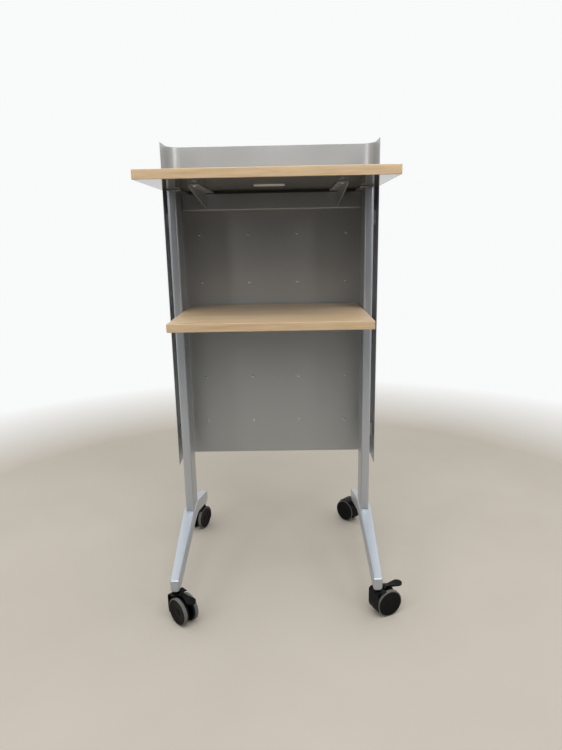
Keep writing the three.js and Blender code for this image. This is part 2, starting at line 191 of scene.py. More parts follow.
def tube(name, corners, wall, low, high, plane, steps=10):
    """A hollow section with open ends, from its outer corners."""
    outer = rounded(corners, steps)
    inner = rounded(inset(corners, wall), steps)
    rings = [(outer, low), (outer, high), (inner, high), (inner, low)]
    return stack(name, rings, plane, closed_loop=True)


def soften_profile(points, radius, steps=4):
    """Rounds every inner corner of an open (radius, height) profile."""
    out = [points[0]]
    for before, here, after in zip(points, points[1:], points[2:]):
        p, a, b = Vector(here), Vector(before) - Vector(here), Vector(after) - Vector(here)
        reach = min(radius, a.length * 0.45, b.length * 0.45)
        start, end = p + a.normalized() * reach, p + b.normalized() * reach
        for k in range(steps + 1):
            t = k / steps
            out.append(tuple(start * (1 - t) ** 2 + p * (2 * t * (1 - t)) + end * t * t))
    return out + [points[-1]]


def turned_verts(profile, segments, wobble=None):
    """Vertices and faces of a profile of (radius, height) turned about z; wobble reshapes a ring."""
    verts, faces, starts = [], [], []
    for radius, height in profile:
        starts.append(len(verts))
        if radius < ON_AXIS:
            verts.append((0, 0, height))
            continue
        for k in range(segments):
            angle = 2 * math.pi * k / segments
            r = radius * (wobble(angle, radius) if wobble else 1)
            verts.append((r * math.cos(angle), r * math.sin(angle), height))
    for i in range(len(profile) - 1):
        low, high = starts[i], starts[i + 1]
        low_point, high_point = profile[i][0] < ON_AXIS, profile[i + 1][0] < ON_AXIS
        for k in range(segments):
            n = (k + 1) % segments
            if low_point and high_point:
                continue
            if low_point:
                faces.append((low, high + n, high + k))
            elif high_point:
                faces.append((low + k, low + n, high))
            else:
                faces.append((low + k, low + n, high + n, high + k))
    return verts, faces


def turned(name, profile, segments=64, wobble=None, sharp=SHARP_ABOVE):
    """A mesh object turned from a profile of (radius, height)."""
    verts, faces = turned_verts(profile, segments, wobble)
    return make(name, verts, faces, sharp)


def transform(piece, matrix):
    """Moves a piece's own mesh, and leaves the object at the origin."""
    piece.data.transform(matrix)
    piece.data.update()
    return piece


def merge(name, pieces):
    """One object from several that only touch."""
    work = bmesh.new()
    for piece in pieces:
        work.from_mesh(piece.data)
        bpy.data.objects.remove(piece)
    mesh = bpy.data.meshes.new(name)
    work.to_mesh(mesh)
    work.free()
    tidy_normals(mesh)
    return link(name, mesh)


def combine(base, others, operation="UNION"):
    """Applies an exact boolean with each of the others and returns the base."""
    for other in others:
        cutter = base.modifiers.new("join", "BOOLEAN")
        cutter.operation = operation
        cutter.solver = "EXACT"
        cutter.object = other
        graph = bpy.context.evaluated_depsgraph_get()
        mesh = bpy.data.meshes.new_from_object(base.evaluated_get(graph))
        base.modifiers.clear()
        base.data = mesh
        bpy.data.objects.remove(other)
    work = bmesh.new()
    work.from_mesh(base.data)
    bmesh.ops.remove_doubles(work, verts=work.verts, dist=MERGE_REACH)
    bmesh.ops.dissolve_limit(work, angle_limit=math.radians(0.5), verts=work.verts, edges=work.edges)
    work.to_mesh(base.data)
    work.free()
    tidy_normals(base.data)
    return base


# ---- Materials ----------------------------------------------------------------------------------
class Nodes:
    """Short forms for building a material's nodes."""

    def __init__(self, name, **settings):
        self.material = bpy.data.materials.new(name)
        self.material.use_nodes = True
        self.tree = self.material.node_tree
        self.shader = self.tree.nodes["Principled BSDF"]
        for socket, value in settings.items():
            self.shader.inputs[socket.replace("_", " ")].default_value = value

    def node(self, kind, inputs=None, **settings):
        made = self.tree.nodes.new(kind)
        for key, value in settings.items():
            setattr(made, key, value)
        for key, value in (inputs or {}).items():
            if isinstance(value, bpy.types.NodeSocket):
                self.tree.links.new(value, made.inputs[key])
            else:
                made.inputs[key].default_value = value
        return made

    def coordinates(self, scale=(1, 1, 1), which="Object"):
        source = self.node("ShaderNodeTexCoord").outputs[which]
        return self.node("ShaderNodeMapping", {"Vector": source, "Scale": scale}).outputs["Vector"]

    def noise(self, vector, scale, detail=4.0, roughness=0.55, distortion=0.0):
        inputs = {
            "Vector": vector,
            "Scale": scale,
            "Detail": detail,
            "Roughness": roughness,
            "Distortion": distortion,
        }
        return self.node("ShaderNodeTexNoise", inputs).outputs["Fac"]

    def remap(self, value, low, high, from_low=0.0, from_high=1.0):
        inputs = {
            "Value": value,
            "From Min": from_low,
            "From Max": from_high,
            "To Min": low,
            "To Max": high,
        }
        return self.node("ShaderNodeMapRange", inputs).outputs["Result"]

    def ramp(self, value, stops):
        made = self.node("ShaderNodeValToRGB", {"Fac": value})
        elements = made.color_ramp.elements
        while len(elements) < len(stops):
            elements.new(0.5)
        for element, (position, colour) in zip(elements, stops):
            element.position = position
            element.color = (*colour, 1)
        return made.outputs["Color"]

    def mix(self, factor, a, b, blend="MIX"):
        made = self.node("ShaderNodeMix", data_type="RGBA", blend_type=blend)
        for socket, value in (("Factor", factor), ("A", a), ("B", b)):
            kinds = ("VALUE",) if socket == "Factor" else ("RGBA",)
            target = next(s for s in made.inputs if s.name == socket and s.type in kinds)
            if isinstance(value, bpy.types.NodeSocket):
                self.tree.links.new(value, target)
            else:
                target.default_value = value if socket == "Factor" else (*value, 1)
        return next(s for s in made.outputs if s.type == "RGBA")

    def maths(self, operation, a, b):
        return self.node("ShaderNodeMath", {0: a, 1: b}, operation=operation).outputs[0]

    def bump(self, height, strength, distance):
        inputs = {"Height": height, "Strength": strength, "Distance": distance}
        normal = self.node("ShaderNodeBump", inputs).outputs["Normal"]
        self.tree.links.new(normal, self.shader.inputs["Normal"])

    def feed(self, **sources):
        for socket, source in sources.items():
            self.tree.links.new(source, self.shader.inputs[socket.replace("_", " ")])


def linear(red, green, blue):
    """A display colour, 0 to 255, as scene-linear values."""
    return tuple(
        c / 12.92 if c <= 0.04045 else ((c + 0.055) / 1.055) ** 2.4
        for c in (red / 255, green / 255, blue / 255)
    )


def woodgrain(name, along, pale, mid, dark, roughness):
    """Printed oak: long soft figure, fine pores and a faint embossed grain. along names the coordinates."""
    n = Nodes(name, Specular_IOR_Level=0.5)
    if along == "UV":
        figure, pores = n.coordinates((1, 14, 1), "UV"), n.coordinates((1, 30, 1), "UV")
    else:
        figure, pores = n.coordinates((1, 14, 14)), n.coordinates((1, 30, 30))
    broad = n.noise(figure, 2.2, 3, 0.5, 0.6)
    streaks = n.noise(figure, 9, 6, 0.6, 0.3)
    fine = n.noise(pores, 26, 4, 0.65)
    blend = n.maths("ADD", n.maths("MULTIPLY", broad, 0.5), n.maths("MULTIPLY", streaks, 0.5))
    colour = n.ramp(blend, [(0.32, dark), (0.5, mid), (0.66, pale)])
    pore_mask = n.remap(fine, 0.0, 0.35, 0.56, 0.74)
    colour = n.mix(pore_mask, colour, tuple(c * 0.72 for c in dark))
    rough = n.remap(fine, roughness - 0.05, roughness + 0.08)
    n.feed(Base_Color=colour, Roughness=rough)
    n.bump(fine, 0.12, 0.0002)
    return n.material


def metallic_paint(name, colour, roughness, metallic):
    """Silver powder coat: fine flakes, faint orange peel and slight cloudiness."""
    n = Nodes(name, Metallic=metallic, Specular_IOR_Level=0.5, Coat_Weight=0.12, Coat_Roughness=0.25)
    place = n.coordinates()
    flakes = n.node("ShaderNodeTexVoronoi", {"Vector": place, "Scale": 2600.0}).outputs["Color"]
    flake = n.node("ShaderNodeSeparateColor", {"Color": flakes}).outputs["Red"]
    cloud = n.noise(place, 5, 3, 0.5)
    peel = n.noise(place, 420, 2, 0.5)
    tone = n.maths("ADD", n.remap(flake, 0.9, 1.1), n.remap(cloud, -0.04, 0.04))
    grey = n.node("ShaderNodeCombineColor", {"Red": tone, "Green": tone, "Blue": tone}).outputs["Color"]
    patches = n.remap(cloud, roughness - 0.05, roughness + 0.05)
    n.feed(
        Base_Color=n.mix(1.0, colour, grey, "MULTIPLY"),
        Roughness=n.maths("ADD", patches, n.remap(flake, -0.03, 0.03)),
    )
    n.bump(peel, 0.05, 0.0004)
    return n.material


DUST, DUST_SHARE = 0.03, 0.15


def moulding(name, colour, roughness, grain=900, worn=0.0):
    """Moulded plastic or rubber: spark-eroded texture, slight dust and scuffs."""
    n = Nodes(name, Specular_IOR_Level=0.12)
    place = n.coordinates()
    texture = n.noise(place, grain, 3, 0.6)
    smudge = n.noise(place, 40, 5, 0.6, 0.4)
    dusty = tuple(c + (DUST - c) * DUST_SHARE for c in colour)
    tint = n.mix(n.remap(smudge, 0.0, 0.35 + worn, 0.45, 0.8), colour, dusty)
    n.feed(Base_Color=tint, Roughness=n.remap(smudge, roughness - 0.08, roughness + 0.12, 0.3, 0.7))
    n.bump(texture, 0.18, 0.0003)
    return n.material


def plated_steel(name):
    """Bright zinc plate with fine turning marks."""
    n = Nodes(name, Metallic=1.0)
    place = n.coordinates((1, 1, 6))
    marks = n.noise(place, 700, 3, 0.6)
    bloom = n.noise(n.coordinates(), 90, 4, 0.6)
    colour = n.ramp(bloom, [(0.35, linear(176, 180, 186)), (0.65, linear(206, 208, 210))])
    n.feed(Base_Color=colour, Roughness=n.remap(marks, 0.2, 0.38))
    n.bump(marks, 0.08, 0.0002)
    return n.material


def backing_film_with_painted_shade(name):
    """The boards' smooth grey-beige backing laminate, drawn darker with painted shade for the shadow under
    the boards.
    """
    n = Nodes(name, Specular_IOR_Level=0.6)
    place = n.coordinates()
    mottle = n.noise(place, 60, 4, 0.6)
    # The dark olive-brown is partly the backing's own colour and partly painted shade for the shadow under
    # the boards; the mottle is random tone.
    colour = n.ramp(mottle, [(0.3, linear(74, 70, 59)), (0.7, linear(84, 80, 68))])
    n.feed(Base_Color=colour, Roughness=n.remap(n.noise(place, 300, 2), 0.08, 0.15))
    n.bump(n.noise(place, 700, 2), 0.03, 0.0002)
    return n.material


def label_film(name):
    """A blank satin label."""
    n = Nodes(name, Specular_IOR_Level=0.5)
    fibre = n.noise(n.coordinates(), 500, 3)
    colour = n.ramp(fibre, [(0.3, linear(212, 212, 206)), (0.7, linear(230, 230, 226))])
    n.feed(Base_Color=colour, Roughness=n.remap(fibre, 0.35, 0.5))
    return n.material


OAK = {"pale": linear(199, 175, 143), "mid": linear(186, 161, 128), "dark": linear(168, 141, 107)}
LAMINATE = woodgrain("oak_laminate", "Object", roughness=0.36, **OAK)
EDGING = woodgrain("oak_edging", "UV", roughness=0.4, **OAK)
# The backing colour carries painted shade for the undersides of the boards.
BACKING_WITH_PAINTED_SHADE = backing_film_with_painted_shade("backing_laminate_painted_shade")
SILVER = metallic_paint("silver_paint", linear(182, 184, 186), 0.38, 0.75)
PANEL_SILVER = metallic_paint("panel_silver", linear(176, 178, 178), 0.42, 0.75)
POST_SILVER = metallic_paint("post_silver", linear(180, 184, 189), 0.34, 0.75)
FOOT_SILVER = metallic_paint("foot_silver", linear(174, 180, 187), 0.34, 0.75)
# Stud heads: the panel's own paint drawn brighter, a painted highlight so the heads look lit against the
# sheet.
STUD_SILVER_HIGHLIT = metallic_paint("stud_silver_painted_highlight", linear(198, 201, 204), 0.26, 0.9)
ZINC = plated_steel("zinc_steel")
BLACK = moulding("black_plastic", linear(8, 8, 9), 0.5)
TREAD = moulding("grey_tread", linear(92, 94, 90), 0.62, grain=500, worn=0.1)
LABEL = label_film("label_film")

FINISHES = {
    "oak_laminate": LAMINATE,
    "oak_edging": EDGING,
    "silver_paint": SILVER,
    "foot_silver": FOOT_SILVER,
    "zinc_steel": ZINC,
    "black_plastic": BLACK,
    "grey_tread": TREAD,
    "label_film": LABEL,
}


def fit(piece, body, slot, nodes=(), materials=None):
    """Gives a piece its finish, from its slot unless materials are given, puts it on its body and hides the
    CAD nodes that it stands for.
    """
    piece.data.materials.clear()
    for material in materials or [FINISHES[slot]]:
        piece.data.materials.append(material)
    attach(piece, body)
    if nodes:
        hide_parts(*nodes)


def refinish(node):
    """Keeps a CAD node, with silver paint and lightly rounded edges."""
    obj = frame["nodes"][node]
    obj.data.materials.clear()
    obj.data.materials.append(SILVER)
    weld = obj.modifiers.new("weld", "WELD")
    weld.merge_threshold = MERGE_REACH
    round_edges(obj, 0.6 * MM, 2)


# ---- Boards -------------------------------------------------------------------------------------
BAND = 2 * MM
ARRIS = 1.4 * MM


def build_board(board, band, radius, rear_radius):
    """The laminate slab and the edge band round it, with softly rounded arrises."""
    low, high = box(band)
    corners = rectangle(low.x, high.x, low.y, high.y, radius, rear_radius)
    slab_outline = rounded(inset(corners, BAND))
    slab = stack(f"{board}_slab", [(slab_outline, low.z), (slab_outline, high.z)])
    fit(slab, "frame", "oak_laminate", [board], [LAMINATE, BACKING_WITH_PAINTED_SHADE])
    # Faces turned down take the backing, whose darker colour is partly painted shade.
    for face in slab.data.polygons:
        face.material_index = 1 if face.normal.z < -0.5 else 0

    quarter = [math.radians(15 * k) for k in range(7)]
    section = [(ARRIS * (1 - math.sin(a)), high.z - ARRIS * (1 - math.cos(a))) for a in quarter]
    section += [(ARRIS * (1 - math.cos(a)), low.z + ARRIS * (1 - math.sin(a))) for a in quarter]
    section = [(BAND, high.z)] + section + [(BAND, low.z)]
    rings = [(rounded(inset(corners, depth)), z) for depth, z in section]
    edge = stack(f"{band}_strip", rings, closed_loop=True)
    unwrap_strip(edge, rings)
    fit(edge, "frame", "oak_edging", [band])


def unwrap_strip(strip, rings):
    """UVs in metres: u along the strip, v across it, so the grain runs along every edge."""
    outline = rings[len(rings) // 2][0]
    count = len(outline)
    reach = [0.0]
    for i in range(count):
        reach.append(reach[-1] + (outline[(i + 1) % count] - outline[i]).length)
    across = [0.0]
    for (a, za), (b, zb) in zip(rings, rings[1:] + rings[:1]):
        across.append(across[-1] + math.hypot((b[0] - a[0]).length, zb - za))
    layer = strip.data.uv_layers.new(name="strip")
    for face in strip.data.polygons:
        at = [strip.data.loops[i].vertex_index for i in face.loop_indices]
        wraps_u = {v % count for v in at} == {0, count - 1}
        wraps_v = {v // count for v in at} == {0, len(rings) - 1}
        for loop, vertex in zip(face.loop_indices, at):
            column, row = vertex % count, vertex // count
            u = reach[count] if wraps_u and column == 0 else reach[column]
            v = across[len(rings)] if wraps_v and row == 0 else across[row]
            layer.data[loop].uv = (u, v)


# ---- Panel --------------------------------------------------------------------------------------
SHEET = 1.5 * MM
BEND = 40 * MM
STUD_RADIUS, STUD_HEIGHT, STUD_SKIRT = 4.5 * MM, 1.3 * MM, 0.3 * MM
STUD_PITCH, STUD_FIRST_ROW = 147 * MM, 432 * MM
STUD_COLUMNS, STUD_ROWS = 4, 6


def stud_head(x, y, z):
    """A low round head standing out from the panel's inner face, towards the user, its skirt in the sheet."""
    dome = [math.radians(9 * k) for k in range(10)]
    profile = [(STUD_RADIUS * math.cos(a), STUD_HEIGHT * math.sin(a)) for a in dome]
    profile = [(STUD_RADIUS + 0.2 * MM, -STUD_SKIRT)] + profile + [(0, STUD_HEIGHT)]
    head = turned("head", profile, 24)
    return transform(head, Matrix.Translation((x, y, z)) @ Matrix.Rotation(math.pi / 2, 4, "X"))


def build_panel():
    """The bent sheet, drawn as one outline, and the heads on its inner face."""
    low, high = box("modesty_panel")
    half = (high.x - low.x) / 2

    def path(offset):
        x, y = half - offset, high.y - offset
        bend = BEND - offset
        near = arc(-x + bend, y - bend, bend, 180, 90, 24)
        far = arc(x - bend, y - bend, bend, 90, 0, 24)
        return [(-x, low.y)] + near + far + [(x, low.y)]

    outer = [(MID_X + x, y) for x, y in path(0)]
    inner = [(MID_X + x, y) for x, y in path(SHEET)]
    outline = [Vector(p) for p in outer + inner[::-1]]
    count = len(outline)
    last = len(outer) - 1
    verts = [(p.x, p.y, z) for z in (low.z, high.z) for p in outline]
    faces = [(i, (i + 1) % count, count + (i + 1) % count, count + i) for i in range(count)]
    for i in range(last):
        quad = (i, i + 1, count - 2 - i, count - 1 - i)
        faces += [tuple(reversed(quad)), tuple(v + count for v in quad)]
    sheet = make("panel_sheet", verts, faces)
    round_edges(sheet, 0.45 * MM, 2, 60)
    fit(sheet, "frame", "silver_paint", ["modesty_panel"], [PANEL_SILVER])

    middle = (STUD_COLUMNS - 1) / 2
    heads = [
        stud_head(MID_X + (column - middle) * STUD_PITCH, high.y - SHEET, STUD_FIRST_ROW + row * STUD_PITCH)
        for column in range(STUD_COLUMNS)
        for row in range(STUD_ROWS)
    ]
    # The heads take the brighter silver: a painted highlight on the same paint as the sheet.
    fit(merge("panel_stud_heads", heads), "frame", "silver_paint", materials=[STUD_SILVER_HIGHLIT])


# ---- Posts, feet and beam -----------------------------------------------------------------------
TUBE_WALL = 2 * MM


def build_upright(side_name):
    """One post: a tube with rounded corners."""
    low, high = box(f"{side_name}_post")
    corners = rectangle(low.x, high.x, low.y, high.y, 7 * MM)
    post = tube(f"{side_name}_post_tube", corners, TUBE_WALL, low.z, high.z, "XY", 12)
    fit(post, "frame", "silver_paint", [f"{side_name}_post"], [POST_SILVER])


def build_beam():
    """The tube across the top, behind the worktop's arms."""
    low, high = box("cross_beam")
    corners = rectangle(low.y, high.y, low.z, high.z, 3 * MM)
    beam = tube("beam_tube", corners, TUBE_WALL, low.x, high.x, "YZ", 8)
    fit(beam, "frame", "silver_paint", ["cross_beam"])


def build_foot(side_name):
    """A foot lofted from rounded rectangular sections along its length."""
    node = f"{side_name}_foot"
    low, high = box(node)
    post_low, post_high = box(f"{side_name}_post")
    mid = (low.x + high.x) / 2
    front, rear = low.y, high.y
    shoulder_front, shoulder_rear = post_low.y, post_high.y
    deck, under = high.z, low.z
    tip_top = under + 34 * MM
    pad = 34 * MM
    arch_z, crown_z = under + 58 * MM, under + 70 * MM
    arch_front, arch_rear = shoulder_front - 10 * MM, shoulder_rear + 12 * MM
    root_half, tip_half = 17.5 * MM, 12 * MM
    rim = 20 * MM

    def line(y, y0, z0, y1, z1):
        """A height on the straight line from (y0, z0) to (y1, z1)."""
        return z0 + (z1 - z0) * (y - y0) / (y1 - y0)

    def top_at(y):
        if y < shoulder_front:
            return line(y, front, tip_top, shoulder_front, deck)
        if y > shoulder_rear:
            return line(y, shoulder_rear, deck, rear, tip_top)
        return deck

    def under_at(y):
        if y < front + pad or y > rear - pad:
            return under
        if y < arch_front:
            return line(y, front + pad, under, arch_front, arch_z)
        if y > arch_rear:
            return line(y, arch_rear, arch_z, rear - pad, under)
        t = (y - arch_front) / (arch_rear - arch_front)
        return arch_z + (crown_z - arch_z) * 2 * t * (1 - t)

    def half_at(y):
        if y < shoulder_front:
            return line(y, front, tip_half, shoulder_front, root_half)
        if y > shoulder_rear:
            return line(y, shoulder_rear, root_half, rear, tip_half)
        return root_half

    def section(y, shrink=0.0):
        half, top, bottom = half_at(y) - shrink, top_at(y) - shrink, under_at(y) + shrink
        return rounded(rectangle(mid - half, mid + half, bottom, top, 8 * MM, 3 * MM), 8)

    def nose(tip, inwards):
        """Rings that round a tip's end face over its last few millimetres."""
        radius = 3.2 * MM
        for k in range(7):
            a = math.radians(15 * k)
            y = tip + inwards * radius * (1 - math.cos(a))
            yield section(y, radius * (1 - math.sin(a))), y

    rings = list(nose(front, 1))
    inner_stops = [front + rim, front + pad, (front + shoulder_front) / 2, arch_front]
    inner_stops += [shoulder_front - 2 * MM, shoulder_front + 2 * MM]
    inner_stops += [arch_front + (arch_rear - arch_front) * t for t in (0.3, 0.45, 0.6, 0.75)]
    inner_stops += [shoulder_rear - 2 * MM, shoulder_rear + 2 * MM, arch_rear]
    inner_stops += [(rear + shoulder_rear) / 2, rear - pad, rear - rim]
    rings += [(section(y), y) for y in sorted(inner_stops)]
    rings += reversed(list(nose(rear, -1)))
    foot = stack(f"{side_name}_foot_casting", rings, "XZ")
    fit(foot, "frame", "foot_silver", [node])


# ---- Fixings ------------------------------------------------------------------------------------
SOCKET_SHARE = 0.48
ARM_SHEET, BRACKET_SHEET = 3 * MM, 2.5 * MM


def hexagon(angle):
    """How far a hexagon's side lies from its centre at an angle, as a share of its corner radius."""
    step = math.pi / 3
    return math.cos(step / 2) / math.cos((angle % step) - step / 2)


def button_screw(name, head_radius, head_height):
    """A domed screw head with a hexagon socket, its bearing face at z = 0 and its dome towards +z."""
    socket = head_radius * SOCKET_SHARE
    dome = [
        (head_radius * math.cos(a), head_height * (0.22 + 0.78 * math.sin(a)))
        for a in (math.radians(8 * k) for k in range(8))
    ]
    top = dome[-1][1]
    profile = [(0, 0), (head_radius, 0)] + dome
    profile += [(socket * 1.06, top), (socket, top - 0.2 * MM), (socket, top * 0.3), (0, top * 0.25)]

    def wobble(angle, radius):
        return hexagon(angle) if radius <= socket * 1.001 else 1

    return turned(name, profile, 48, wobble, 30)


def place_screw(name, at, towards, head=5.0, height=2.6, nodes=()):
    """A screw head on the frame, in millimetres, with its bearing face at a point and its dome to a side."""
    screw = button_screw(name, head * MM, height * MM)
    turn = Vector((0, 0, 1)).rotation_difference(Vector(towards)).to_matrix().to_4x4()
    transform(screw, Matrix.Translation(at) @ turn)
    fit(screw, "frame", "zinc_steel", nodes)


def build_fixings(side_name, side):
    """The screws seen under the worktop and under the shelf, on one side."""
    down = (0, 0, -1)
    inward = (-side, 0, 0)
    low, high = box(f"{side_name}_arm_screw")
    seat = low.z + 4 * MM
    x, y = (low.x + high.x) / 2, (low.y + high.y) / 2
    node = f"{side_name}_arm_screw"
    place_screw(f"{node}_front", (x, y, seat), down, head=6, height=4, nodes=[node])
    arm_low, arm_high = box(f"{side_name}_support_arm")
    flange = arm_high.z - ARM_SHEET
    for index, share in enumerate((0.45, 0.8)):
        at = (x, arm_low.y + share * (arm_high.y - arm_low.y), flange)
        place_screw(f"{side_name}_arm_screw_{index}", at, down)

    bracket_low, bracket_high = box(f"{side_name}_shelf_bracket")
    under = bracket_high.z - BRACKET_SHEET
    middle = bracket_low.x if side > 0 else bracket_high.x
    for index, along in enumerate((20 * MM, 130 * MM)):
        at = (middle + side * 12 * MM, bracket_low.y + along, under)
        place_screw(f"{side_name}_shelf_screw_{index}", at, down)
    face = (bracket_high.x if side > 0 else bracket_low.x) - side * BRACKET_SHEET
    for index, back in enumerate((18 * MM, 58 * MM)):
        at = (face, bracket_high.y - back, bracket_low.z + 14 * MM)
        place_screw(f"{side_name}_shelf_post_screw_{index}", at, inward)


# ---- Casters ------------------------------------------------------------------------------------
TRAIL, AXLE_HEIGHT = 29 * MM, 37.5 * MM
HOOD_RADIUS, HOOD_CORNER, HOOD_WALL, HOOD_HALF = 40.5 * MM, 10 * MM, 2 * MM, 22 * MM
HOOD_LID_END = 16 * MM
WEB_HALF, WEB_DEPTH = 6 * MM, 1 * MM
HUB_RADIUS = 14 * MM
NECK_RADIUS, NECK_LOW, NECK_TOP = 5.95 * MM, 53 * MM, 82.5 * MM
BORE_RADIUS, BORE_LOW, BORE_TOP = 4.3 * MM, 60 * MM, 90 * MM
BOSS_RADIUS, BOSS_LOW = 12 * MM, 73.1 * MM
JUST_INSIDE = 0.999
EAR_START, EAR_LOW, EAR_TOP, EAR_HALF = 6 * MM, 72.7 * MM, 82.4 * MM, 3 * MM
PIVOT_X, PIVOT_Z, PIVOT_EYE = 22 * MM, 79.6 * MM, 2.8 * MM
PIN_RADIUS = 1.5 * MM
PEDAL_DROOP = 2
WHEEL_RIBS = 8


def swivel_place(corner):
    """The caster's own frame: z on the swivel axis, the floor at 0, wheels trailing towards +x."""
    swivel = Vector(joint(f"{corner}_swivel")["pos_m"])
    wheel = Vector(joint(f"{corner}_left_roll")["pos_m"])
    heading = math.atan2(wheel.y - swivel.y, wheel.x - swivel.x)
    return Matrix.Translation((swivel.x, swivel.y, 0)) @ Matrix.Rotation(heading, 4, "Z")


def hood_path(depth, braked):
    """The hood's side view as (x, z) points, a distance inside its outer face, from tail to lid."""
    radius = HOOD_RADIUS - depth
    back, lid, corner = TRAIL - radius, AXLE_HEIGHT + radius, HOOD_CORNER - depth
    if not braked:
        return arc(TRAIL, AXLE_HEIGHT, radius, 205, 55, 48)
    path = arc(TRAIL, AXLE_HEIGHT, radius, 205, 180, 8)
    path += arc(back + corner, lid - corner, corner, 180, 90, 12)
    return path + [(HOOD_LID_END, lid)]


def plug(name, radius, low, high, segments=48):
    """A plain round bar on the z axis."""
    return turned(name, [(0, low), (radius, low), (radius, high), (0, high)], segments)


def lying(piece, x, z):
    """Turns a piece from the z axis to the caster's y axis and moves it to (x, z)."""
    return transform(piece, Matrix.Translation((x, 0, z)) @ Matrix.Rotation(-math.pi / 2, 4, "X"))


def build_hood(corner, place):
    """A fender on a web, with the neck that turns on the stem and, where braked, the pedal's boss and ear."""
    braked = corner in BRAKED
    shell = hood_path(0, braked) + hood_path(HOOD_WALL, braked)[::-1]
    fender = stack("fender", [(shell, -HOOD_HALF), (shell, HOOD_HALF)], "XZ")
    middle = hood_path(WEB_DEPTH, braked) + [(TRAIL, AXLE_HEIGHT)]
    web = stack("web", [(middle, -WEB_HALF), (middle, WEB_HALF)], "XZ")
    hub_half = WEB_HALF * JUST_INSIDE
    hub = lying(plug("hub", HUB_RADIUS, -hub_half, hub_half), TRAIL, AXLE_HEIGHT)
    parts = [web, hub, plug("neck", NECK_RADIUS, NECK_LOW, NECK_TOP)]
    if braked:
        parts.append(plug("boss", BOSS_RADIUS, BOSS_LOW, EAR_TOP))
        ear = [(EAR_START, EAR_TOP), (EAR_START, EAR_LOW), (PIVOT_X, EAR_LOW)]
        ear += arc(PIVOT_X, PIVOT_Z, PIVOT_EYE, -90, 90, 12)
        parts.append(stack("ear", [(ear, -EAR_HALF), (ear, EAR_HALF)], "XZ"))
    hood = combine(fender, parts)
    combine(hood, [plug("bore", BORE_RADIUS, BORE_LOW, BORE_TOP)], "DIFFERENCE")
    round_edges(hood, 0.7 * MM, 3, 50)
    hood.name = f"{corner}_hood_moulding"
    transform(hood, place)
    fit(hood, f"{corner}_caster", "black_plastic", [f"{corner}_hood"])


def build_wheel(corner, place, wheel_name, turn):
    """A dished wheel centre with a stepped face and a soft tread ring bonded round it."""
    centre_profile = [
        (0, 20), (3.1, 20), (3.1, 7), (8.6, 7), (9.2, 9.4), (29.6, 9.4), (30.2, 7.2), (34.6, 7.2),
        (35.4, 8.0), (35.4, 12.2), (34.2, 12.2), (34.2, 22.6), (33.6, 23.3), (32.4, 23.5), (31.6, 22.9),
        (13.0, 21.9), (12.4, 21.5), (11.4, 21.5), (10.8, 22.3), (9.6, 22.9), (0, 23.0),
    ]
    centre_outline = soften_profile(millimetres(centre_profile), 0.6 * MM, 3)
    centre = turned("centre", centre_outline, 96, sharp=50)
    tread_profile = [
        (34.25, 12.5), (36.3, 12.5), (37.3, 13.6), (37.5, 15.0), (37.5, 19.8), (37.2, 21.2),
        (36.2, 22.3), (34.25, 22.3),
    ]
    tread_outline = soften_profile(millimetres(tread_profile), 0.9 * MM, 3)
    tread = turned("tread", tread_outline + tread_outline[:1], 96, sharp=60)
    ribs = []
    for k in range(WHEEL_RIBS):
        outline = rounded(rectangle(8.9 * MM, 29.9 * MM, -0.8 * MM, 0.8 * MM), 1)
        rib = stack("rib", [(outline, 7.4 * MM), (outline, 9.6 * MM)])
        ribs.append(transform(rib, Matrix.Rotation(math.tau * k / WHEEL_RIBS, 4, "Z")))
    centre = merge("centre", [centre] + ribs)
    to_axle = place @ Matrix.Translation((TRAIL, 0, AXLE_HEIGHT)) @ Matrix.Rotation(turn, 4, "Z")
    upright = to_axle @ Matrix.Rotation(-math.pi / 2, 4, "X")
    body = f"{corner}_{wheel_name}_roller"
    for piece, suffix, slot in ((centre, "wheel", "black_plastic"), (tread, "tread", "grey_tread")):
        piece.name = f"{corner}_{wheel_name}_{suffix}_moulding"
        transform(piece, upright)
        fit(piece, body, slot, [f"{corner}_{wheel_name}_{suffix}"])


def build_stem(corner, place):
    """The foot's plastic socket, the stem in it and the wheels' axle."""
    socket = turned("socket", millimetres([
        (4.3, 83.0), (10.2, 83.0), (11.0, 83.7), (11.0, 84.7),
        (7.7, 84.7), (7.7, 103), (4.3, 103), (4.3, 83.0),
    ]), 64)
    socket.name = f"{corner}_socket_moulding"
    transform(socket, place)
    fit(socket, "frame", "black_plastic", [f"{corner}_socket"])
    stem = turned("stem", millimetres([
        (0, 60.5), (3.4, 60.5), (4.0, 61.1), (4.0, 102.4), (3.4, 103.0), (0, 103.0),
    ]), 48)
    stem.name = f"{corner}_stem_pin"
    transform(stem, place)
    fit(stem, "frame", "zinc_steel", [f"{corner}_stem"])
    axle = turned("axle", millimetres([
        (0, -19), (2.5, -19), (3, -18.5), (3, 18.5), (2.5, 19), (0, 19),
    ]), 48)
    lying(axle, TRAIL, AXLE_HEIGHT)
    axle.name = f"{corner}_axle_pin"
    transform(axle, place)
    fit(axle, f"{corner}_caster", "zinc_steel", [f"{corner}_axle"])


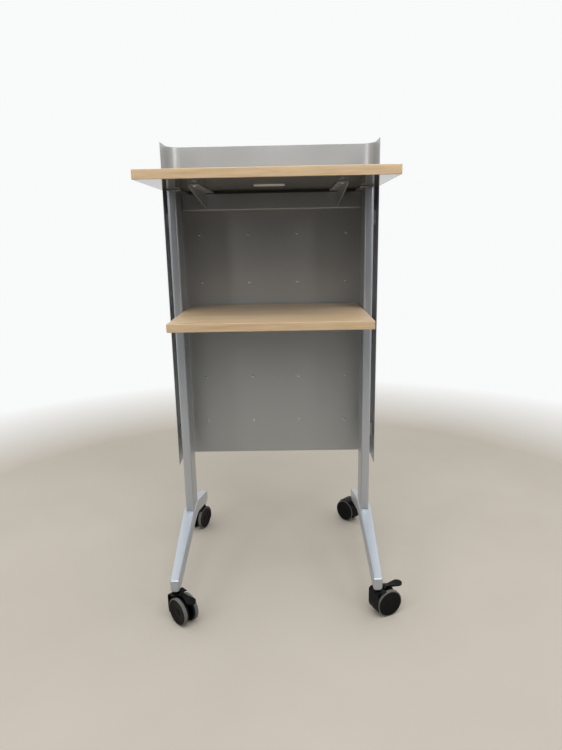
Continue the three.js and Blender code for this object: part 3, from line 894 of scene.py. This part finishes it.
def build_pedal(corner, place):
    """The brake pedal: a forked neck and a round paddle with grip ridges, drawn level about its pin."""
    half, reach, radius = 6 * MM, 44 * MM, 13 * MM
    fork, neck_end = 3.5 * MM, 14 * MM
    plan = [(fork, -half), (neck_end, -half)]
    plan += arc(reach, 0, radius, -100, 100, 40)
    plan += [(neck_end, half), (fork, half)]
    pedal = stack("pedal", [(plan, -2.5 * MM), (plan, 2.5 * MM)])
    cheeks = []
    for side in (-1, 1):
        shape = rounded(rectangle(-2.8 * MM, 8 * MM, -2.8 * MM, 2.79 * MM, 2.7 * MM), 8)
        spans = sorted((side * 3.3 * MM, side * 5.99 * MM))
        cheeks.append(stack("cheek", [(shape, spans[0]), (shape, spans[1])], "XZ"))
    combine(pedal, cheeks)
    round_edges(pedal, 0.9 * MM, 3, 50)
    ridges = []
    for k in range(5):
        x = reach + (k - 1.6) * 4 * MM
        width = math.sqrt(max((radius - 3 * MM) ** 2 - (x - reach) ** 2, 0))
        shape = rounded(rectangle(x - 0.7 * MM, x + 0.7 * MM, 2.2 * MM, 3.1 * MM, 0.35 * MM), 4)
        ridges.append(stack("ridge", [(shape, -width), (shape, width)], "XZ"))
    ridges = merge("ridges", ridges)
    pivot = Matrix.Translation((PIVOT_X, 0, PIVOT_Z)) @ Matrix.Rotation(math.radians(PEDAL_DROOP), 4, "Y")
    for piece, suffix in ((pedal, "pedal_moulding"), (ridges, "pedal_ridges")):
        piece.name = f"{corner}_{suffix}"
        transform(piece, place @ pivot)
    fit(pedal, f"{corner}_brake", "black_plastic", [f"{corner}_brake_pedal"])
    fit(ridges, f"{corner}_brake", "black_plastic")
    pin = lying(plug("pin", PIN_RADIUS, -half, half, 32), PIVOT_X, PIVOT_Z)
    pin.name = f"{corner}_brake_pin_steel"
    transform(pin, place)
    fit(pin, f"{corner}_caster", "zinc_steel", [f"{corner}_brake_pin"])


def build_caster(corner):
    """All the pieces of one caster."""
    place = swivel_place(corner)
    build_hood(corner, place)
    build_wheel(corner, place, "left", 0)
    build_wheel(corner, place, "right", math.pi)
    build_stem(corner, place)
    if corner in BRAKED:
        build_pedal(corner, place)


# ---- Label --------------------------------------------------------------------------------------
def build_label():
    """A blank label on the worktop's underside, with rounded corners and a softened lower edge."""
    low, high = box("underside_label")
    corners = rectangle(low.x, high.x, low.y, high.y, 14 * MM)
    outline = rounded(corners, 12)
    inner = rounded(inset(corners, 0.3 * MM), 12)
    label = stack("label", [(inner, low.z), (outline, low.z + 0.2 * MM), (outline, high.z)])
    fit(label, "frame", "label_film", ["underside_label"])


# ---- Camera, light and floor --------------------------------------------------------------------
def build_camera():
    """The photograph's viewpoint: about a metre up, tilted down a little and rolled about a degree."""
    yaw, tilt, roll = 0.014, 0.236, -0.019
    rightward, back, height = 0.043, 1.359, 1.017
    flat = Vector((-math.sin(yaw), math.cos(yaw), 0))
    right = Vector((math.cos(yaw), math.sin(yaw), 0))
    ahead = flat * math.cos(tilt) - Vector((0, 0, math.sin(tilt)))
    up = flat * math.sin(tilt) + Vector((0, 0, math.cos(tilt)))
    rolled_right = right * math.cos(roll) + up * math.sin(roll)
    rolled_up = up * math.cos(roll) - right * math.sin(roll)
    camera = bpy.data.objects.new("camera", bpy.data.cameras.new("camera"))
    camera.data.sensor_width = 36
    camera.data.lens = 28.08
    camera.data.clip_start = 0.05
    turn = Matrix((rolled_right, rolled_up, -ahead)).transposed().to_4x4()
    camera.matrix_world = Matrix.Translation((MID_X + rightward, TOP_LOW.y - back, height)) @ turn
    bpy.context.scene.collection.objects.link(camera)
    bpy.context.scene.camera = camera


def area_light(name, at, aim, width, height, power):
    """A soft rectangular lamp that faces a point."""
    lamp = bpy.data.lights.new(name, "AREA")
    lamp.shape = "RECTANGLE"
    lamp.size, lamp.size_y = width, height
    lamp.energy = power
    holder = bpy.data.objects.new(name, lamp)
    holder.location = at
    holder.rotation_mode = "QUATERNION"
    holder.rotation_quaternion = (Vector(aim) - Vector(at)).to_track_quat("-Z", "Y")
    bpy.context.scene.collection.objects.link(holder)


BACKDROP = linear(249, 250, 250)
FLOOR_RADIUS = 2.5


def build_stage():
    """A pale floor that fades into the white of the room before it ends, and three soft lamps."""
    n = Nodes("floor_vinyl", Specular_IOR_Level=0.0, Emission_Color=(*BACKDROP, 1))
    place = n.coordinates()
    reach = {"Vector": n.coordinates((1 / FLOOR_RADIUS,) * 3)}
    inward = n.node("ShaderNodeTexGradient", reach, gradient_type="SPHERICAL")
    fade = n.remap(inward.outputs["Fac"], 1.0, 0.0, 0.03, 0.42)
    colour = n.ramp(n.noise(place, 1.3, 4), [(0.3, linear(164, 157, 147)), (0.7, linear(171, 164, 154))])
    n.feed(
        Base_Color=n.mix(fade, colour, (0, 0, 0)),
        Roughness=n.remap(n.noise(place, 30, 3), 0.5, 0.6),
        Emission_Strength=fade,
    )
    floor = turned("floor", [(0, 0), (FLOOR_RADIUS, 0)], 128)
    floor.data.materials.append(n.material)

    area_light("ceiling", (0.1, -1.15, 2.45), (0, -0.25, 0.9), 1.8, 0.9, 27)
    for x in (-1.9, 1.9):
        area_light("window", (x, -1.9, 1.8), (0, 0, 1.2), 0.3, 1.0, 9)


def build_world():
    """A white backdrop. The room that lights the lectern is brightest overhead, darkest behind the viewer."""
    world = bpy.data.worlds.new("studio")
    world.use_nodes = True
    tree = world.node_tree

    def node(kind, **settings):
        made = tree.nodes.new(kind)
        for key, value in settings.items():
            setattr(made, key, value)
        return made

    def ease(value, start, end, low, high):
        made = node("ShaderNodeMapRange", interpolation_type="SMOOTHSTEP")
        for socket, number in zip(("From Min", "From Max", "To Min", "To Max"), (start, end, low, high)):
            made.inputs[socket].default_value = number
        tree.links.new(value, made.inputs["Value"])
        return made.outputs["Result"]

    def maths(operation, a, b):
        made = node("ShaderNodeMath", operation=operation)
        tree.links.new(a, made.inputs[0])
        tree.links.new(b, made.inputs[1])
        return made.outputs[0]

    split = node("ShaderNodeSeparateXYZ")
    tree.links.new(node("ShaderNodeTexCoord").outputs["Generated"], split.inputs["Vector"])
    sides = ease(split.outputs["Y"], -0.85, -0.3, 0.03, 0.45)
    rear = ease(split.outputs["Y"], 0.3, 0.85, 0.0, 0.55)
    ceiling = ease(split.outputs["Z"], 0.12, 0.5, 0.0, 1.35)
    light = maths("MAXIMUM", maths("ADD", sides, rear), ceiling)
    seen = node("ShaderNodeLightPath").outputs["Is Camera Ray"]
    strength = node("ShaderNodeMix")
    tree.links.new(seen, strength.inputs["Factor"])
    tree.links.new(light, strength.inputs["A"])
    strength.inputs["B"].default_value = 1.0
    background = tree.nodes["Background"]
    background.inputs["Color"].default_value = (*BACKDROP, 1)
    tree.links.new(strength.outputs["Result"], background.inputs["Strength"])
    bpy.context.scene.world = world
    bpy.context.scene.view_settings.view_transform = "Standard"


def build_side(side_name, side):
    """One side's post, foot, screws and bent brackets."""
    build_upright(side_name)
    build_foot(side_name)
    build_fixings(side_name, side)
    kept = ("post_top_plate", "support_arm", "shelf_bracket", "panel_bracket_lower", "panel_bracket_upper")
    for part in kept:
        refinish(f"{side_name}_{part}")


build_camera()
build_board("worktop", "worktop_edge_band", 2.5 * MM, 37 * MM)
build_board("shelf_board", "shelf_edge_band", 2.5 * MM, 3 * MM)
build_label()
build_panel()
build_beam()
for side_name, side in SIDES.items():
    build_side(side_name, side)
for corner in CORNERS:
    build_caster(corner)
build_stage()
build_world()
